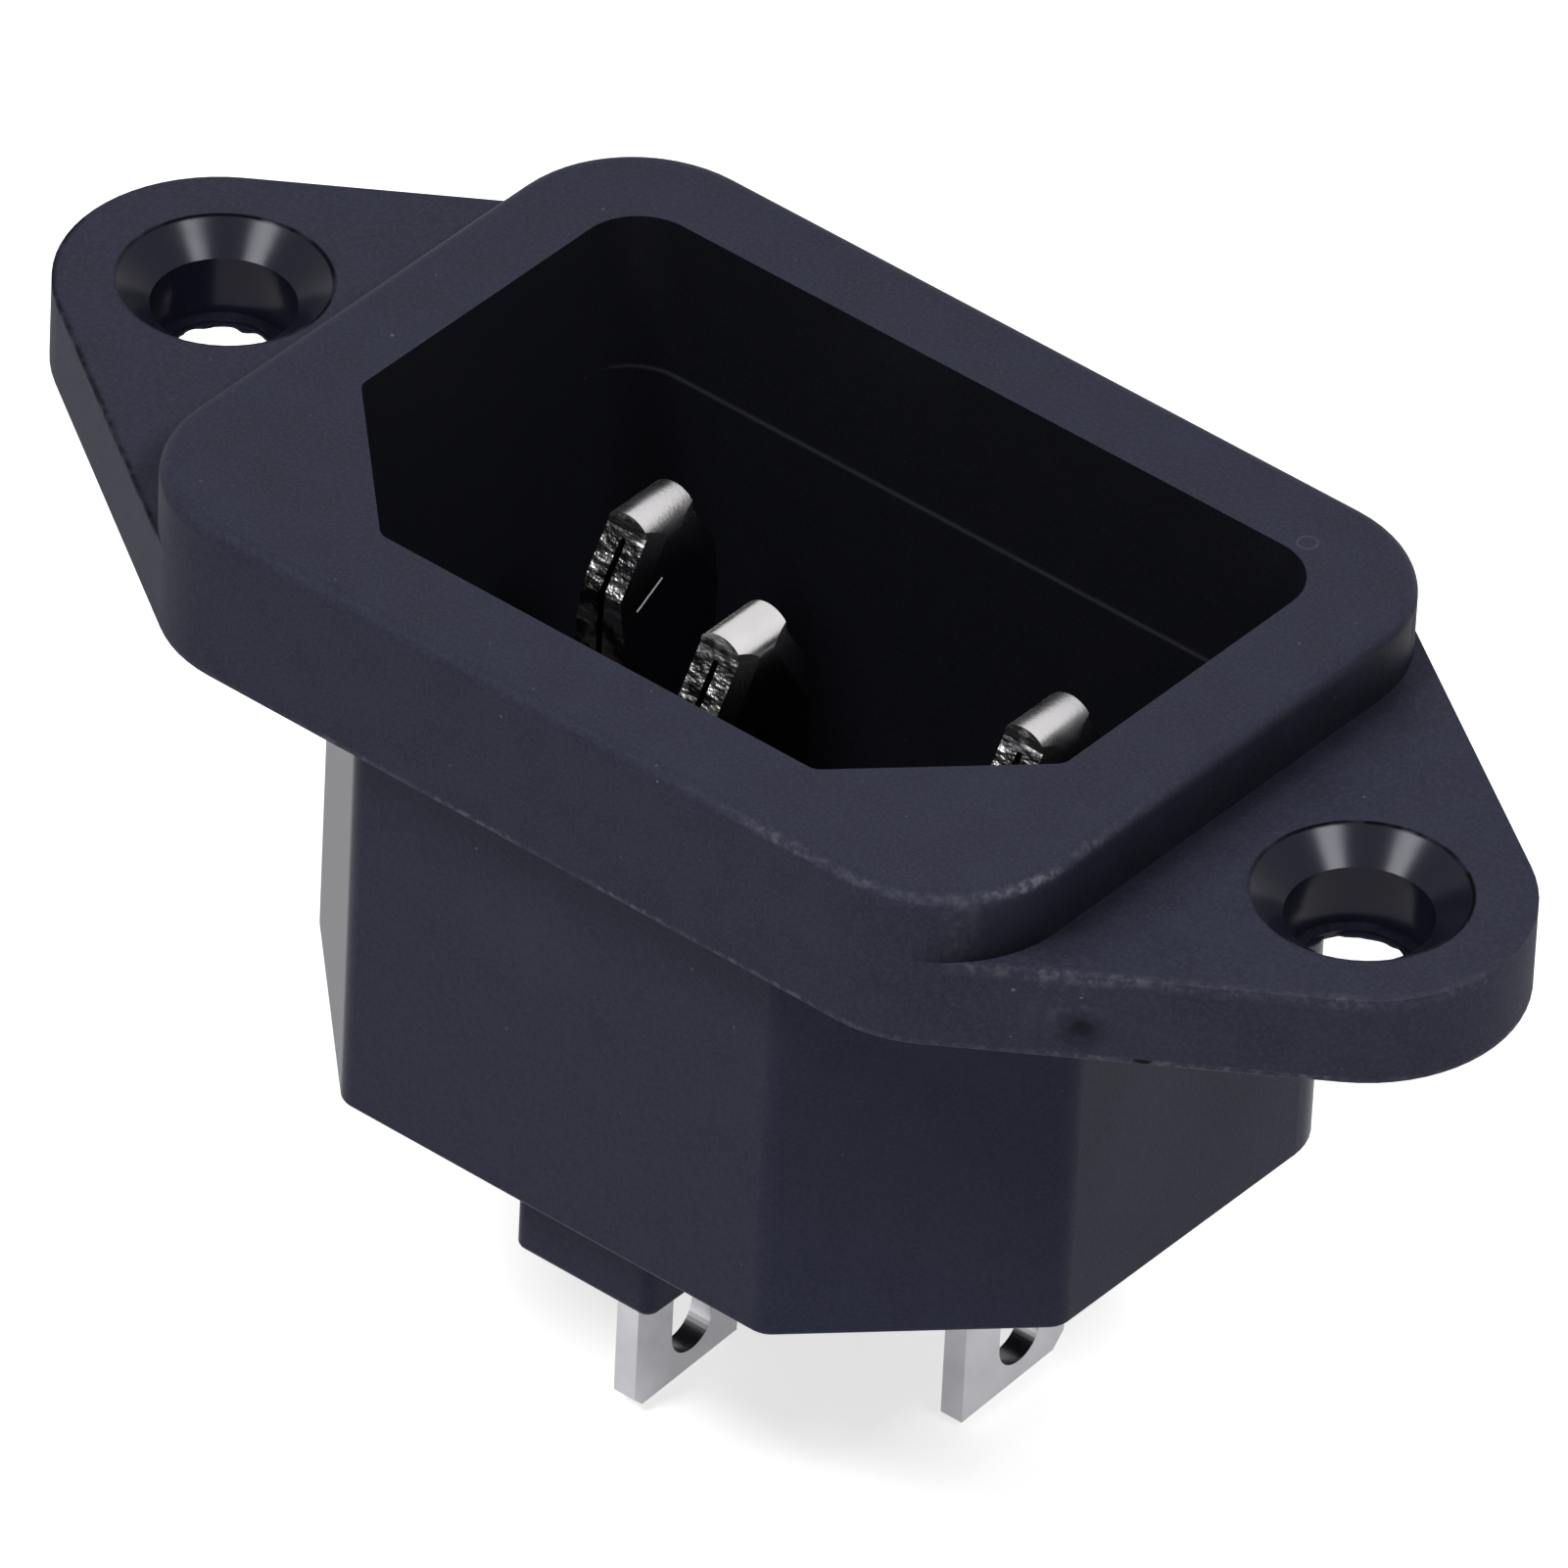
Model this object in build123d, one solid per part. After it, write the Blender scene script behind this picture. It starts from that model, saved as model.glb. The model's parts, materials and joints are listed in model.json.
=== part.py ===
from build123d import *
import math
import os

# Chassis mount appliance inlet: a moulded housing with three pressed-in folded-strip contacts.
# Millimetres. The origin is on the flange's rear face, halfway between the two fixing holes.
# +X runs along the row of fixing holes, +Z points out of the mouth, and -Y is the keyed side.

# Recess that the mating connector enters
RECESS_LENGTH = 24.7
RECESS_WIDTH = 16.1
RECESS_DEPTH = 16.5
KEY_CHAMFER = 4.75
KEY_CORNER_RADIUS = 0.5
FAR_CORNER_RADIUS = 1.8
LEDGE_BELOW_RIM = 5.1
LEDGE_SETBACK = 0.12

# Flange and the raised shroud round the mouth
FLANGE_THICKNESS = 2.85
RIM_HEIGHT = 5.0
SHROUD_END_WALL = 2.8
SHROUD_SIDE_WALL = 2.95
SHROUD_CORNER_RADIUS = 4.1
RIM_ROUND = 0.45
FLANGE_EDGE_ROUND = 0.15

# Mounting ears
HOLE_PITCH = 40.0
EAR_RADIUS = 4.75
HOLE_DIAMETER = 4.1
COUNTERSINK_DIAMETER = 6.0
COUNTERSINK_DEPTH = 0.8
HOLE_LIP_DIAMETER = 3.4
HOLE_LIP_HEIGHT = 0.2

# Mark left by the moulding gate on the near side of the right ear
GATE_MARK_X = 16.9
GATE_MARK_Z = 1.0
GATE_MARK_RADIUS = 0.5
GATE_MARK_DEPTH = 0.15

# Rear body behind the panel
BODY_WALL = 0.9
BODY_KEY_WALL = 0.55
BODY_FLOOR = 2.5
BODY_FAR_CORNER_RADIUS = 2.0
BODY_KEY_CORNER_RADIUS = 0.8
BODY_EDGE_ROUND = 0.12

# Boss under the rear face, round the earth contact
BOSS_LENGTH = 4.9
BOSS_HEIGHT = 3.1
BOSS_MARGIN = 2.75
BOSS_ROUND = 0.4

# Contacts, each one strip folded over at the blade's tip
STRIP_THICKNESS = 0.75
BLADE_THICKNESS = 1.7
BLADE_WIDTH = 4.0
BLADE_TIP_WIDTH = 2.0
BLADE_NECK_LENGTH = 0.55
BLADE_TAPER_LENGTH = 1.6
TIP_BEVEL_WIDTH = 0.7
TIP_BEVEL_DEPTH = 0.17
BLADE_PITCH = 14.0
POLE_BLADE_Y = 2.85
EARTH_BLADE_Y = -1.7
POLE_TIP_BELOW_RIM = 4.55
EARTH_TIP_BELOW_RIM = 2.5
SHORT_LEG_SETBACK = 0.3

# Barbs on the blade's edges that hold it in the floor
BARB_REACH = 0.3
BARB_HEIGHT = 1.0
BARB_ABOVE_REAR = 0.6

# Solder lugs
LUG_LENGTH = 9.3
LUG_WIDTH = 4.4
POLE_LUG_OFFSET = 0.3
EARTH_LUG_OFFSET = -0.85
LUG_END_RISE = 0.25
POLE_LUG_CORNER = 0.45
EARTH_LUG_CORNER = 0.35
LUG_SLOT_WIDTH = 1.75
LUG_SLOT_LENGTH = 3.3
LUG_SLOT_MARGIN = 0.75
LUG_SLOT_OFFSET = 0.2

# Clearances between a contact and the housing
CONTACT_CLEARANCE = 0.05
BARB_CLEARANCE = 0.02
BOSS_CLEARANCE = 0.1

# Extra length that a cutting tool runs past the face it opens
OVERCUT = 1.0

# Places worked out from the sizes above
FLOOR_Z = RIM_HEIGHT - RECESS_DEPTH
REAR_Z = FLOOR_Z - BODY_FLOOR
BOSS_Z = REAR_Z - BOSS_HEIGHT
SHROUD_LENGTH = RECESS_LENGTH + 2 * SHROUD_END_WALL
SHROUD_WIDTH = RECESS_WIDTH + 2 * SHROUD_SIDE_WALL
CORNER_X = SHROUD_LENGTH / 2 - SHROUD_CORNER_RADIUS
CORNER_Y = SHROUD_WIDTH / 2 - SHROUD_CORNER_RADIUS
BODY_LENGTH = RECESS_LENGTH + 2 * BODY_WALL
BODY_WIDTH = RECESS_WIDTH + 2 * BODY_WALL
BODY_CHAMFER = KEY_CHAMFER + 2 * BODY_WALL - math.sqrt(2) * BODY_KEY_WALL
STRIP_X = -BLADE_THICKNESS / 2


def keyed_section(length, width, key_chamfer, key_radius, far_radius):
    """Rectangle with its two near corners cut off and its two far corners rounded."""
    section = Rectangle(length, width)
    section = chamfer(section.vertices().group_by(Axis.Y)[0], key_chamfer)
    section = fillet(section.vertices().group_by(Axis.Y)[-1], far_radius)
    near_corners = section.vertices().sort_by(Axis.Y)[:4]
    return fillet(near_corners, key_radius)


def extrude_between(section, low_z, high_z):
    """Solid of a flat section between two heights."""
    return Pos(0, 0, low_z) * extrude(section, high_z - low_z)


# Housing


def ear_side_slope():
    """Angle between the row of holes and an ear's straight side, tangent to both its ends."""
    run_x = HOLE_PITCH / 2 - CORNER_X
    spacing = math.hypot(run_x, CORNER_Y)
    return math.atan2(CORNER_Y, run_x) - math.asin((EAR_RADIUS - SHROUD_CORNER_RADIUS) / spacing)


def ear_section():
    """One ear: an end circle and the two straight sides tangent to it and to the shroud's corners."""
    normal_x = math.sin(ear_side_slope())
    normal_y = math.cos(ear_side_slope())
    at_corner = (CORNER_X + SHROUD_CORNER_RADIUS * normal_x, CORNER_Y + SHROUD_CORNER_RADIUS * normal_y)
    at_end = (HOLE_PITCH / 2 + EAR_RADIUS * normal_x, EAR_RADIUS * normal_y)
    web = Polygon(
        (0, -at_corner[1]),
        (at_corner[0], -at_corner[1]),
        (at_end[0], -at_end[1]),
        at_end,
        at_corner,
        (0, at_corner[1]),
        align=None,
    )
    return web + Pos(HOLE_PITCH / 2, 0) * Circle(EAR_RADIUS)


def flange_and_shroud():
    """Flat plate with both ears, and the collar that stands up from it round the mouth."""
    ear = ear_section()
    collar_section = RectangleRounded(SHROUD_LENGTH, SHROUD_WIDTH, SHROUD_CORNER_RADIUS)
    plate_section = collar_section + ear + Rot(0, 0, 180) * ear
    blank = extrude_between(plate_section, 0, FLANGE_THICKNESS)
    blank += extrude_between(collar_section, 0, RIM_HEIGHT)
    blank = fillet(blank.edges().group_by(Axis.Z)[-1], RIM_ROUND)
    return fillet(blank.edges().group_by(Axis.Z)[0], FLANGE_EDGE_ROUND)


def rear_body():
    """Keyed block that passes through the panel."""
    section = keyed_section(
        BODY_LENGTH, BODY_WIDTH, BODY_CHAMFER, BODY_KEY_CORNER_RADIUS, BODY_FAR_CORNER_RADIUS
    )
    block = extrude_between(section, REAR_Z, FLANGE_THICKNESS / 2)
    return fillet(block.edges().group_by(Axis.Z)[0], BODY_EDGE_ROUND)


def earth_boss():
    """Block under the rear face that the earth lug passes through."""
    lug_y = EARTH_BLADE_Y + EARTH_LUG_OFFSET
    section = RectangleRounded(BOSS_LENGTH, LUG_WIDTH + 2 * BOSS_MARGIN, BOSS_ROUND)
    block = Pos(0, lug_y) * extrude_between(section, BOSS_Z, REAR_Z + BODY_FLOOR / 2)
    return fillet(block.edges().group_by(Axis.Z)[0], BOSS_ROUND / 2)


def recess():
    """Space for the mating connector, set back a little above a ledge on the far wall."""
    section = keyed_section(
        RECESS_LENGTH, RECESS_WIDTH, KEY_CHAMFER, KEY_CORNER_RADIUS, FAR_CORNER_RADIUS
    )
    wide_section = keyed_section(
        RECESS_LENGTH, RECESS_WIDTH + LEDGE_SETBACK, KEY_CHAMFER, KEY_CORNER_RADIUS, FAR_CORNER_RADIUS
    )
    space = extrude_between(section, FLOOR_Z, RIM_HEIGHT + OVERCUT)
    wide_space = extrude_between(wide_section, RIM_HEIGHT - LEDGE_BELOW_RIM, RIM_HEIGHT + OVERCUT)
    return space + Pos(0, LEDGE_SETBACK / 2) * wide_space


def fixing_hole():
    """Countersunk hole with a thin lip at the flange's rear face."""
    hole_r = HOLE_DIAMETER / 2
    lip_r = HOLE_LIP_DIAMETER / 2
    mouth_r = COUNTERSINK_DIAMETER / 2
    profile = Polyline(
        (0, -OVERCUT),
        (lip_r, -OVERCUT),
        (lip_r, HOLE_LIP_HEIGHT),
        (hole_r, HOLE_LIP_HEIGHT),
        (hole_r, FLANGE_THICKNESS - COUNTERSINK_DEPTH),
        (mouth_r, FLANGE_THICKNESS),
        (mouth_r, FLANGE_THICKNESS + OVERCUT),
        (0, FLANGE_THICKNESS + OVERCUT),
        close=True,
    )
    return revolve(Plane.XZ * make_face(profile), Axis.Z)


def gate_mark():
    """Ball that leaves a shallow round dimple in the right ear's near side."""
    normal_x = math.sin(ear_side_slope())
    normal_y = math.cos(ear_side_slope())
    side_distance = CORNER_X * normal_x + CORNER_Y * normal_y + SHROUD_CORNER_RADIUS
    side_y = (side_distance - GATE_MARK_X * normal_x) / normal_y
    lift = GATE_MARK_RADIUS - GATE_MARK_DEPTH
    centre = (GATE_MARK_X + lift * normal_x, -side_y - lift * normal_y, GATE_MARK_Z)
    return Pos(*centre) * Sphere(GATE_MARK_RADIUS)


def contact_slot(blade_y):
    """Slot through the floor for a folded blade, with notches for its barbs."""
    section = Rectangle(BLADE_THICKNESS + 2 * CONTACT_CLEARANCE, BLADE_WIDTH + 2 * CONTACT_CLEARANCE)
    slot = extrude_between(section, REAR_Z - OVERCUT, FLOOR_Z + OVERCUT)
    return Pos(0, blade_y) * (slot + barbs(BARB_CLEARANCE))


def earth_lug_slot():
    """Slot through the boss for the earth lug."""
    section = Rectangle(STRIP_THICKNESS + 2 * BOSS_CLEARANCE, LUG_WIDTH + 2 * BOSS_CLEARANCE)
    lug_y = EARTH_BLADE_Y + EARTH_LUG_OFFSET
    return Pos(STRIP_X + STRIP_THICKNESS / 2, lug_y) * extrude_between(section, BOSS_Z - OVERCUT, REAR_Z)


def housing():
    """The one-piece moulding."""
    body = flange_and_shroud() + rear_body() + earth_boss()
    body -= recess()
    body -= Pos(HOLE_PITCH / 2, 0) * fixing_hole()
    body -= Pos(-HOLE_PITCH / 2, 0) * fixing_hole()
    body -= gate_mark()
    body -= Pos(-BLADE_PITCH / 2, 0) * contact_slot(POLE_BLADE_Y)
    body -= Pos(BLADE_PITCH / 2, 0) * contact_slot(POLE_BLADE_Y)
    body -= contact_slot(EARTH_BLADE_Y)
    body -= earth_lug_slot()
    return body


# Contacts


def barbs(growth):
    """Saw-tooth barbs on both edges of the long leg, grown on every side for their notches."""
    top_y = BLADE_WIDTH / 2 + growth
    low_y = top_y + BARB_REACH
    low_z = REAR_Z + BARB_ABOVE_REAR - growth
    top_z = low_z + BARB_HEIGHT + 2 * growth
    outline = Polygon((-low_y, low_z), (low_y, low_z), (top_y, top_z), (-top_y, top_z), align=None)
    plate = extrude(Plane.YZ * outline, STRIP_THICKNESS + 2 * growth)
    return Pos(STRIP_X - growth, 0, 0) * plate


def fold_section(tip_z):
    """Strip seen edge on: a long leg, the fold over the tip and a shorter leg."""
    fold_r = BLADE_THICKNESS / 2
    inner_r = fold_r - STRIP_THICKNESS
    fold_z = tip_z - fold_r
    height = fold_z - REAR_Z
    outside = Pos(0, fold_z - height / 2) * Rectangle(BLADE_THICKNESS, height)
    outside += Pos(0, fold_z) * Circle(fold_r)
    inside = Pos(0, fold_z - height / 2) * Rectangle(2 * inner_r, height)
    inside += Pos(0, fold_z) * Circle(inner_r)
    leg_end = Pos(fold_r, REAR_Z) * Rectangle(2 * STRIP_THICKNESS, 2 * SHORT_LEG_SETBACK)
    return outside - inside - leg_end


def blade_outline(tip_z):
    """Blade seen on its flat side, tapering to a narrow neck at the fold."""
    half = BLADE_WIDTH / 2
    tip_half = BLADE_TIP_WIDTH / 2
    neck_z = tip_z - BLADE_NECK_LENGTH
    shoulder_z = neck_z - BLADE_TAPER_LENGTH
    return Polygon(
        (-half, REAR_Z),
        (half, REAR_Z),
        (half, shoulder_z),
        (tip_half, neck_z),
        (tip_half, tip_z),
        (-tip_half, tip_z),
        (-tip_half, neck_z),
        (-half, shoulder_z),
        align=None,
    )


def tip_bevel(tip_z, side_x, side_y):
    """Block whose face is the shallow bevel pressed along one slanted edge of the tip."""
    run_y = (BLADE_WIDTH - BLADE_TIP_WIDTH) / 2
    lean = TIP_BEVEL_DEPTH / math.hypot(run_y, BLADE_TAPER_LENGTH)
    facing = (side_x * TIP_BEVEL_WIDTH, side_y * lean * BLADE_TAPER_LENGTH, lean * run_y)
    edge_x = BLADE_THICKNESS / 2 - TIP_BEVEL_DEPTH
    neck = (side_x * edge_x, side_y * BLADE_TIP_WIDTH / 2, tip_z - BLADE_NECK_LENGTH)
    reach = 2 * BLADE_WIDTH
    block = Box(reach, reach, reach, align=(Align.CENTER, Align.CENTER, Align.MIN))
    return Plane(origin=neck, z_dir=facing) * block


def folded_blade(tip_z):
    """Strip folded double, with both legs and the fold trimmed to the blade's outline."""
    folded = extrude(Plane.XZ * fold_section(tip_z), BLADE_WIDTH / 2, both=True)
    outline = extrude(Plane.YZ * blade_outline(tip_z), BLADE_THICKNESS, both=True)
    blade = folded & outline
    for side_x in (-1, 1):
        for side_y in (-1, 1):
            blade -= tip_bevel(tip_z, side_x, side_y)
    return blade


def solder_lug(centre_y, cut_side, corner):
    """Flat lug sheared slightly askew, with an oblong wire slot and one bottom corner cut off."""
    low_z = REAR_Z - LUG_LENGTH
    half = LUG_WIDTH / 2
    outline = Pos(centre_y, 0) * Polygon(
        (-half, low_z),
        (half, low_z + LUG_END_RISE),
        (half, REAR_Z),
        (-half, REAR_Z),
        align=None,
    )
    bottom = outline.vertices().sort_by(Axis.Y)[:2].sort_by(Axis.X)
    cut_corner = bottom[-1] if cut_side > 0 else bottom[0]
    outline = chamfer(cut_corner, corner)
    slot_z = low_z + LUG_SLOT_MARGIN + LUG_SLOT_LENGTH / 2
    slot = SlotOverall(LUG_SLOT_LENGTH, LUG_SLOT_WIDTH, rotation=90)
    outline -= Pos(centre_y + LUG_SLOT_OFFSET, slot_z) * slot
    return Pos(STRIP_X, 0, 0) * extrude(Plane.YZ * outline, STRIP_THICKNESS)


def contact(tip_z, lug_offset, cut_side, corner):
    """One contact in its own place, before it is moved to its slot."""
    return folded_blade(tip_z) + barbs(0) + solder_lug(lug_offset, cut_side, corner)


def pole_contact():
    """Contact for either of the two supply poles."""
    return contact(RIM_HEIGHT - POLE_TIP_BELOW_RIM, POLE_LUG_OFFSET, 1, POLE_LUG_CORNER)


def earth_contact():
    """Longer contact that makes first."""
    return contact(RIM_HEIGHT - EARTH_TIP_BELOW_RIM, EARTH_LUG_OFFSET, -1, EARTH_LUG_CORNER)


# Parts

os.makedirs("parts", exist_ok=True)
export_step(housing(), "parts/housing.step")
export_step(Pos(-BLADE_PITCH / 2, POLE_BLADE_Y) * pole_contact(), "parts/line_contact.step")
export_step(Pos(BLADE_PITCH / 2, POLE_BLADE_Y) * pole_contact(), "parts/neutral_contact.step")
export_step(Pos(0, EARTH_BLADE_Y) * earth_contact(), "parts/earth_contact.step")
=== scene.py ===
import bpy
import bmesh
import json
import random
from math import cos, pi, radians, sin
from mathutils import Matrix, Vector


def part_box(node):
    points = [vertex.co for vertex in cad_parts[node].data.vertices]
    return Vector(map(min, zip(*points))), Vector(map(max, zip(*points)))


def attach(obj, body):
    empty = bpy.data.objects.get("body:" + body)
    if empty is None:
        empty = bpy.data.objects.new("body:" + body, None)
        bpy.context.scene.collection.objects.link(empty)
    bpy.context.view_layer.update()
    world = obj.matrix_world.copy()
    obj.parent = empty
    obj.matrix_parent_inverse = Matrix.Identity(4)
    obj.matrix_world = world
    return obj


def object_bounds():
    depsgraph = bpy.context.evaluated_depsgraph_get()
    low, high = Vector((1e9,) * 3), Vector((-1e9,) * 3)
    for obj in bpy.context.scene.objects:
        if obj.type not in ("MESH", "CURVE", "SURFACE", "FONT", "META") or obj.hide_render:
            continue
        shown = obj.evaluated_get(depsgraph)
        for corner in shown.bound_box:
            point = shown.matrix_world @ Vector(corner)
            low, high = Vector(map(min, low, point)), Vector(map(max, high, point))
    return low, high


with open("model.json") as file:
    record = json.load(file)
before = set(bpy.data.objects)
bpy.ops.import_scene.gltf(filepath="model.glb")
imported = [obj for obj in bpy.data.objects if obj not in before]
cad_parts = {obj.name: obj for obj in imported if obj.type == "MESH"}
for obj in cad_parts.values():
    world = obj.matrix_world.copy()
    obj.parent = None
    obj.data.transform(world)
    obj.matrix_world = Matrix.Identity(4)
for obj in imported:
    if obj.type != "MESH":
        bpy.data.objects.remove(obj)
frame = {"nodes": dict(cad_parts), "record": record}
cad_low, cad_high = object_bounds()


# Camera
# A long lens from the near right, looking down at about 38 degrees on the mouth, as in a
# catalogue picture. The object stands upright with its solder lugs pointing down.

CAMERA_PLACE = (0.340626, -0.435465, 0.424877)
CAMERA_TURN_DEGREES = (52.1569, -2.2861, 39.7822)
LENS_MM = 590.81
SENSOR_MM = 36
CLIP_NEAR = 0.05
CLIP_FAR = 10

camera_data = bpy.data.cameras.new("camera")
camera_data.sensor_width = SENSOR_MM
camera_data.lens = LENS_MM
camera_data.clip_start = CLIP_NEAR
camera_data.clip_end = CLIP_FAR
camera = bpy.data.objects.new("camera", camera_data)
camera.location = CAMERA_PLACE
camera.rotation_euler = [radians(turn) for turn in CAMERA_TURN_DEGREES]
bpy.context.collection.objects.link(camera)
bpy.context.scene.camera = camera


# Housing
# One injection moulding in black glass-filled nylon. The mould's spark-eroded walls leave its
# faces finely rough, and polished core pins leave the two fixing holes smooth.

MILLIMETRE = 0.001
screw_holes = next(mount for mount in frame["record"]["mounts"] if mount["name"] == "screw_holes")
HOLE_X = screw_holes["dims"]["spacing_x_mm"] / 2 * MILLIMETRE
HOLE_LIP_RADIUS = screw_holes["dims"]["hole_r_mm"] * MILLIMETRE
RIM_TOP = cad_high.z
EAR_RADIUS = cad_high.x - HOLE_X
EAR_TOP = 0.00285
EAR_WEAR_AND_HIGHLIGHT_DEPTH = 0.0004
EDGE_LINE_DEPTH = 0.00015
LEDGE_BELOW_RIM = 0.0051
BODY_FOOT = -0.014

# How far from a face a limit is set, so that the face falls wholly on one side of it
SKIN = 0.00001
MARGIN = 0.00005

NYLON_DARK = (0.0165, 0.0170, 0.0285, 1)
NYLON_LIGHT = (0.0285, 0.0293, 0.0475, 1)
NYLON_GRAIN = (0.036, 0.037, 0.056, 1)
NYLON_BODY = (0.0110, 0.0130, 0.0350, 1)
# Painted shade colour for the recess
RECESS_PAINTED_SHADE = (0.0058, 0.0062, 0.0080, 1)
BORE = (0.0050, 0.0052, 0.0110, 1)
FILLER = (0.16, 0.16, 0.18, 1)
# Pale colour of real scuffs and moulding marks, also used for painted highlights on the flange edge, the
# right ear's edge and the recess ledge
SCUFF_AND_PAINTED_HIGHLIGHT = (0.106, 0.108, 0.130, 1)
# Dark colour of nicks on the flange edge, also used for painted shade: the gate's dimple, the bores' far
# edges, the left ear's edge and the end walls
NICK_AND_PAINTED_SHADE = (0.002, 0.002, 0.003, 1)

NYLON_SHINE = 0.065
NYLON_SHINE_TINT = (0.8, 0.83, 1, 1)
FILLER_STRENGTH = 0.5
BODY_STRENGTH = 0.3
EAR_WEAR_AND_HIGHLIGHT_STRENGTH = 0.55
EDGE_SHADE_STRENGTH = 0.75
GRAIN_STRENGTH = 0.5
GRAIN_DEPTH = 0.00002
EDGE_ROUGHNESS = 0.62
BODY_ROUGHNESS = 0.25
RECESS_ROUGHNESS = 0.4
BORE_ROUGHNESS = 0.22
DARK_LINE_ROUGHNESS = 1.0
BORE_COAT = 0.17
BORE_COAT_ROUGHNESS = 0.2

GRIT_PER_METRE = 4200
EAR_PATCHES_PER_METRE = 520
EDGE_SHADE_GAPS_PER_METRE = 1900
RUBS_PER_METRE = 2600

# Where single marks lie on the housing
SCUFFED_CORNER = (0.0135, -0.0095, 0.0048)
GATE_MARK = (0.0169, -0.0079, 0.001)
GATE_SMEAR = (0.0165, -0.0081, 0.0021)
BLOOM = (-0.0014, -0.009, -0.005)
PIN_RING = (0.01101, 0.00869, 0.005)
PIN_RING_RADIUS = 0.00028
RIGHT_EAR_X = 0.0136
LEFT_EAR_X = -0.0139
FAR_WALL_Y = 0.0072
NEAR_SIDE_Y = -0.0005


def node(tree, kind, **settings):
    """A new node with some of its settings changed."""
    made = tree.nodes.new(kind)
    for key, value in settings.items():
        setattr(made, key, value)
    return made


def wire(tree, *pairs):
    """Links from an output to an input, one after another."""
    for source, target in pairs:
        tree.links.new(source, target)


def feed(tree, socket, value):
    """A plain value or another node's output, put into a socket."""
    if isinstance(value, (int, float, tuple)):
        socket.default_value = value
    else:
        tree.links.new(value, socket)


def arithmetic(tree, operation, first, second=0.0):
    """A maths node on two outputs or plain numbers."""
    made = node(tree, "ShaderNodeMath", operation=operation)
    feed(tree, made.inputs[0], first)
    feed(tree, made.inputs[1], second)
    return made.outputs[0]


def product(tree, *values):
    """Several outputs or plain numbers multiplied together."""
    total = values[0]
    for value in values[1:]:
        total = arithmetic(tree, "MULTIPLY", total, value)
    return total


def greater(tree, first, second):
    """The greater of two masks or values."""
    return arithmetic(tree, "MAXIMUM", first, second)


def unsigned(tree, value):
    """A value without its sign."""
    return arithmetic(tree, "ABSOLUTE", value)


def hypotenuse(tree, first, second):
    """Length of the long side of a right triangle."""
    squares = arithmetic(tree, "ADD", product(tree, first, first), product(tree, second, second))
    return arithmetic(tree, "SQRT", squares)


def under(tree, value, limit):
    """Mask that is one where a value is under a limit."""
    return arithmetic(tree, "LESS_THAN", value, limit)


def over(tree, value, limit):
    """Mask that is one where a value is over a limit."""
    return arithmetic(tree, "GREATER_THAN", value, limit)


def between(tree, value, low, high):
    """Mask that is one between two limits."""
    return product(tree, over(tree, value, low), under(tree, value, high))


def inverse(tree, mask):
    """Mask that is one where another is zero."""
    return arithmetic(tree, "SUBTRACT", 1.0, mask)


def spread(tree, value, low=0.0, high=1.0, start=0.0, end=1.0):
    """A value between start and end stretched to lie between low and high."""
    made = node(tree, "ShaderNodeMapRange")
    feed(tree, made.inputs["Value"], value)
    feed(tree, made.inputs["From Min"], start)
    feed(tree, made.inputs["From Max"], end)
    made.inputs["To Min"].default_value = low
    made.inputs["To Max"].default_value = high
    return made.outputs["Result"]


def near(tree, away, core, edge):
    """Mask that is one within the core of a line or a spot, and fades to zero at its edge."""
    return spread(tree, unsigned(tree, away), low=1.0, high=0.0, start=core, end=edge)


def mixed(tree, amount, first, second):
    """Colour that goes from the first to the second as the amount rises."""
    made = node(tree, "ShaderNodeMix", data_type="RGBA")
    feed(tree, made.inputs["Factor"], amount)
    feed(tree, made.inputs[6], first)
    feed(tree, made.inputs[7], second)
    return made.outputs[2]


def mixed_value(tree, amount, first, second):
    """Number that goes from the first to the second as the amount rises."""
    made = node(tree, "ShaderNodeMix", data_type="FLOAT")
    feed(tree, made.inputs["Factor"], amount)
    feed(tree, made.inputs[2], first)
    feed(tree, made.inputs[3], second)
    return made.outputs[0]


def marked(tree, colour, mask, strength, mark):
    """Colour with a mark of another colour, where its mask and its strength let it show."""
    return mixed(tree, product(tree, mask, strength), colour, mark)


def place_on_part(tree):
    """The point on the part, in metres."""
    return node(tree, "ShaderNodeTexCoord").outputs["Object"]


def axes(tree, vector):
    """The three coordinates of a vector."""
    split = node(tree, "ShaderNodeSeparateXYZ")
    tree.links.new(vector, split.inputs["Vector"])
    return split.outputs["X"], split.outputs["Y"], split.outputs["Z"]


def facing(tree):
    """How far the flat face at a point looks along each axis."""
    return axes(tree, node(tree, "ShaderNodeNewGeometry").outputs["True Normal"])


def distance(tree, first, second):
    """How far two points are apart."""
    made = node(tree, "ShaderNodeVectorMath", operation="DISTANCE")
    feed(tree, made.inputs[0], first)
    feed(tree, made.inputs[1], second)
    return made.outputs["Value"]


def noise(tree, place, per_metre, detail=4):
    """Noise of so many features a metre."""
    made = node(tree, "ShaderNodeTexNoise")
    feed(tree, made.inputs["Vector"], place)
    feed(tree, made.inputs["Scale"], per_metre)
    made.inputs["Detail"].default_value = detail
    return made.outputs["Fac"]


def patchy(tree, place, per_metre, least, start, end, detail=4):
    """Mask in patches: the least value where a noise is under start, and one where it is over end."""
    return spread(tree, noise(tree, place, per_metre, detail), low=least, start=start, end=end)


def new_group(name, inputs):
    """A node group with its named inputs and their values, and the sockets that give them inside."""
    group = bpy.data.node_groups.new(name, "ShaderNodeTree")
    for label, value in inputs.items():
        kind = "NodeSocketVector" if isinstance(value, tuple) else "NodeSocketFloat"
        group.interface.new_socket(label, in_out="INPUT", socket_type=kind).default_value = value
    return group, node(group, "NodeGroupInput").outputs


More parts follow.
